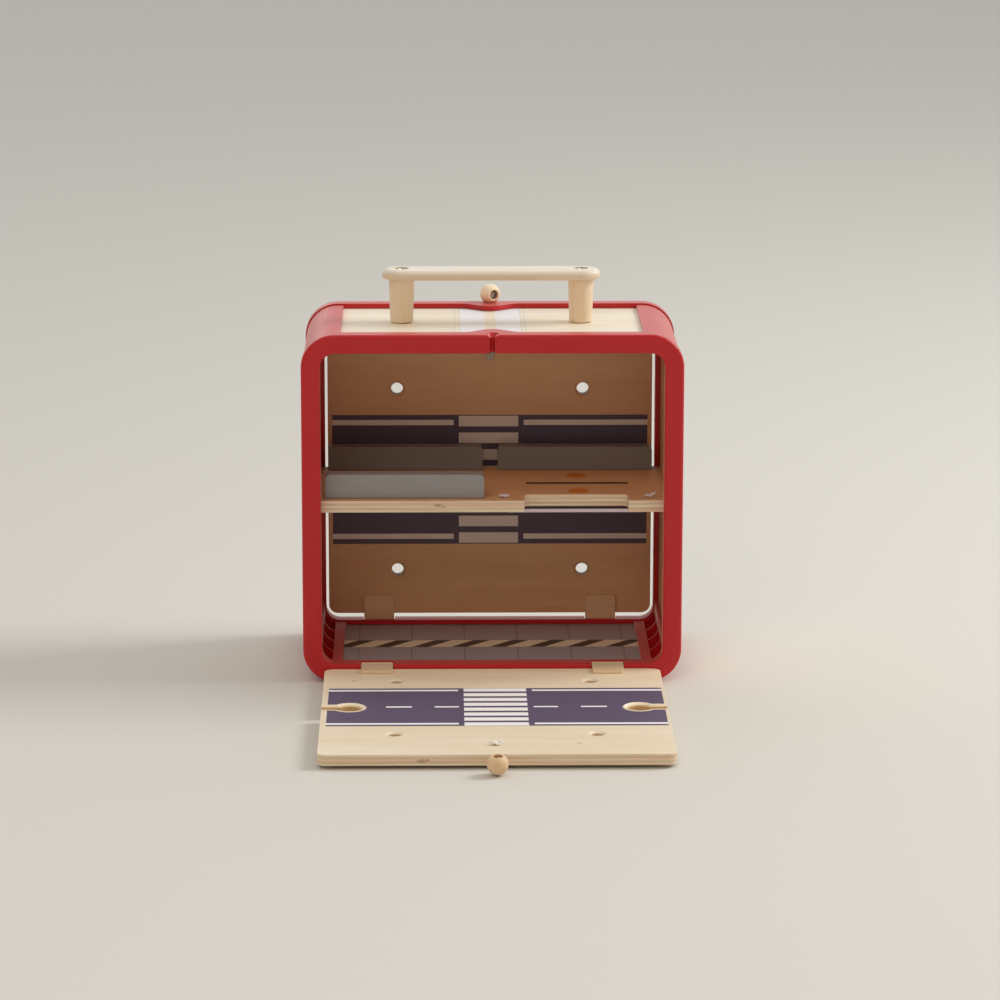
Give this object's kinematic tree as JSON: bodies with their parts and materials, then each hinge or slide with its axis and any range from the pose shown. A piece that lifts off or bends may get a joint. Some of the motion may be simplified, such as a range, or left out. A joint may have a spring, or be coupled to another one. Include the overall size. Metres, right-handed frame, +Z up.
{
  "type": "toy garage",
  "caption": "Portable toy garage case with a rounded moulded frame, plywood panels, a parking shelf, fold-down doors printed with a road, cord latches and a carrying handle.",
  "frame": {"origin": "centre of the whole footprint at floor level, with the front door folded down on the floor", "axes": "+Z up, +Y towards the closed rear door, +X to the right of someone facing the open front"},
  "size_m": [0.21, 0.3031, 0.2235],
  "materials": {
    "red_plastic": "satin, fine spark texture",
    "birch_plywood": "clear matt lacquer",
    "turned_beech": "sanded, clear matt lacquer",
    "grey_paint": "matt grey paint",
    "clear_elastic": "clear glossy cord",
    "plated_steel": "plated, semi-bright"
  },
  "bodies": {
    "case": {"front_frame": "red_plastic", "rear_frame": "red_plastic", "bottom_left_corner": "red_plastic", "bottom_right_corner": "red_plastic", "top_left_corner": "red_plastic", "top_right_corner": "red_plastic", "top_panel": "birch_plywood", "bottom_panel": "birch_plywood", "left_panel": "birch_plywood", "right_panel": "birch_plywood", "shelf": "birch_plywood", "handle_bar": "turned_beech", "left_handle_post": "turned_beech", "right_handle_post": "turned_beech", "front_left_wall": "grey_paint", "rear_left_wall": "grey_paint", "rear_right_wall": "grey_paint", "shelf_cord": "clear_elastic", "front_left_hinge_pin": "plated_steel", "front_right_hinge_pin": "plated_steel", "rear_left_hinge_pin": "plated_steel", "rear_right_hinge_pin": "plated_steel", "left_handle_screw": "plated_steel", "right_handle_screw": "plated_steel", "left_post_screw": "plated_steel", "right_post_screw": "plated_steel"},
    "front_door": {"front_door": "birch_plywood", "front_left_hinge_tab": "birch_plywood", "front_right_hinge_tab": "birch_plywood", "front_latch_cord": "clear_elastic"},
    "rear_door": {"rear_door": "birch_plywood", "rear_left_hinge_tab": "birch_plywood", "rear_right_hinge_tab": "birch_plywood", "rear_latch_cord": "clear_elastic"},
    "front_bead": {"front_latch_bead": "turned_beech"},
    "rear_bead": {"rear_latch_bead": "turned_beech"}
  },
  "joints": [
    {"name": "front_door_hinge", "type": "hinge", "parent": "case", "child": "front_door", "pos_m": [0, 0.04242, 0.0084], "axis": [-1, 0, 0], "range_deg": [0, 90]},
    {"name": "rear_door_hinge", "type": "hinge", "parent": "case", "child": "rear_door", "pos_m": [0, 0.14342, 0.0084], "axis": [-1, 0, 0], "range_deg": [0, 90]},
    {"name": "front_bead_stretch", "type": "slide", "parent": "front_door", "child": "front_bead", "axis": [0, -1, 0], "range_m": [0, 0.0042], "deforming": ["front_latch_cord"]},
    {"name": "rear_bead_lift", "type": "slide", "parent": "rear_door", "child": "rear_bead", "axis": [0, 0, 1], "range_m": [0, 0.012], "stiffness_N_per_m": 120, "springref_m": -0.004, "deforming": ["rear_latch_cord"]}
  ],
  "couplings": [
    {"joint": "front_bead_stretch", "follows": "front_door_hinge", "m_per_rad": 0.00261}
  ]
}
